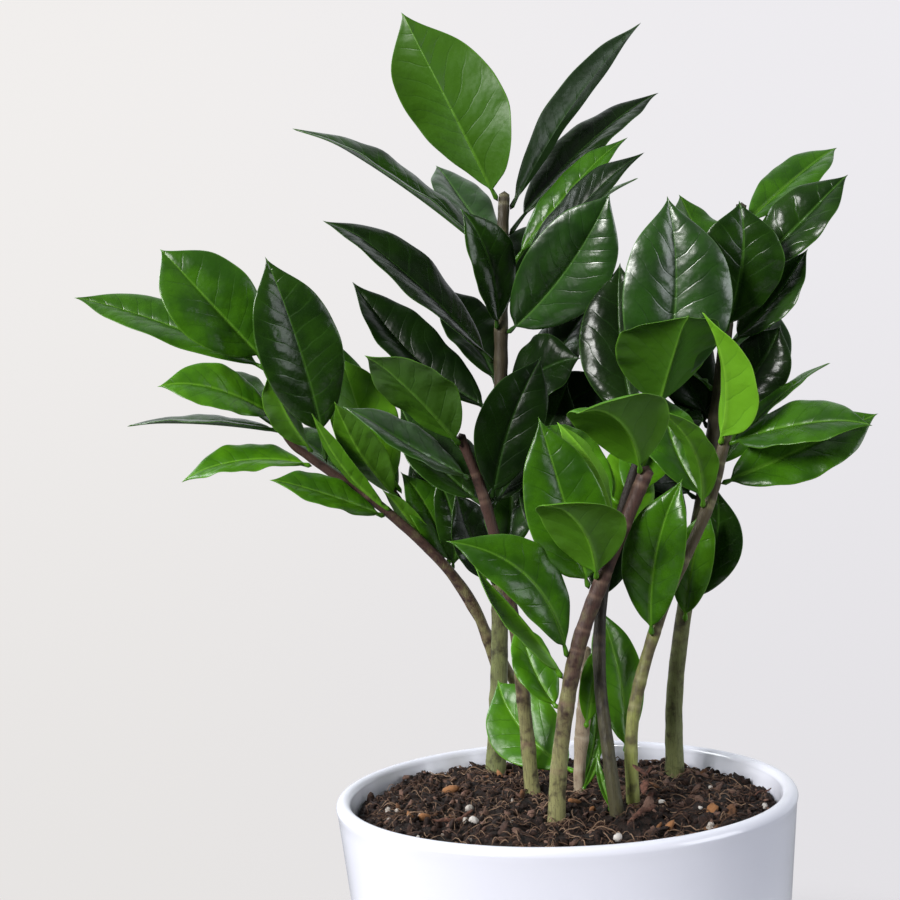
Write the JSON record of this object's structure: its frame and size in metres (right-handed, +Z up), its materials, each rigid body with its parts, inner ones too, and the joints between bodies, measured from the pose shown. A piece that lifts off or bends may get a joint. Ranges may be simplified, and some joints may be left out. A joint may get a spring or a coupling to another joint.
{
  "type": "potted zz plant",
  "caption": "Potted ZZ plant: leaning round stems with thick pointed glossy leaflets, rising from crowned soil in a tapered glazed round pot.",
  "frame": {"origin": "middle of the pot's flat foot, on the surface it stands on", "axes": "+Z up, along the plant's height; +X to the plant's right and +Y to its back, as seen from the side with the broad, light leaves"},
  "size_m": [0.3426, 0.184, 0.4837],
  "materials": {
    "pot_glaze": "glossy bluish white glaze",
    "potting_soil": "loose dark brown peat and coir with bark and perlite",
    "stem_brown": "satin brown and purple mottled stem",
    "stem_green": "satin grey green stem, streaked",
    "leaf_dark": "waxy, very dark green leaf",
    "leaf_mid": "waxy mid green leaf",
    "leaf_young": "soft bright yellow-green young leaf"
  },
  "bodies": {
    "root": {"leaf_a1": "leaf_mid", "leaf_a2": "leaf_mid", "leaf_a3": "leaf_dark", "leaf_a4": "leaf_mid", "leaf_a5": "leaf_mid", "leaf_a6": "leaf_mid", "leaf_a7": "leaf_dark", "leaf_a8": "leaf_young", "leaf_b1": "leaf_mid", "leaf_b2": "leaf_mid", "leaf_b4": "leaf_dark", "leaf_c1": "leaf_mid", "leaf_c10": "leaf_dark", "leaf_c11": "leaf_dark", "leaf_c12": "leaf_dark", "leaf_c13": "leaf_dark", "leaf_c2": "leaf_dark", "leaf_c3": "leaf_dark", "leaf_c4": "leaf_mid", "leaf_c5": "leaf_dark", "leaf_c6": "leaf_dark", "leaf_c8": "leaf_dark", "leaf_c9": "leaf_dark", "leaf_d1": "leaf_mid", "leaf_d2": "leaf_dark", "leaf_d4": "leaf_dark", "leaf_d5": "leaf_dark", "leaf_e1": "leaf_young", "leaf_e2": "leaf_young", "leaf_e3": "leaf_mid", "leaf_e4": "leaf_young", "leaf_e5": "leaf_mid", "leaf_e6": "leaf_young", "leaf_e7": "leaf_mid", "leaf_f1": "leaf_mid", "leaf_h1": "leaf_mid", "leaf_h2": "leaf_young", "leaf_h3": "leaf_mid", "leaf_r1": "leaf_dark", "leaf_r11": "leaf_mid", "leaf_r12": "leaf_mid", "leaf_r2": "leaf_dark", "leaf_r3": "leaf_young", "leaf_r4": "leaf_young", "leaf_r5": "leaf_mid", "leaf_r6": "leaf_mid", "leaf_r7": "leaf_dark", "leaf_r8": "leaf_dark", "leaf_r9": "leaf_dark", "pot": "pot_glaze", "soil": "potting_soil", "stem_a": "stem_brown", "stem_b": "stem_brown", "stem_c": "stem_green", "stem_d": "stem_brown", "stem_e": "stem_brown", "stem_f": "stem_brown", "stem_g": "stem_brown", "stem_h": "stem_green", "stem_i": "stem_green"}
  },
  "joints": []
}
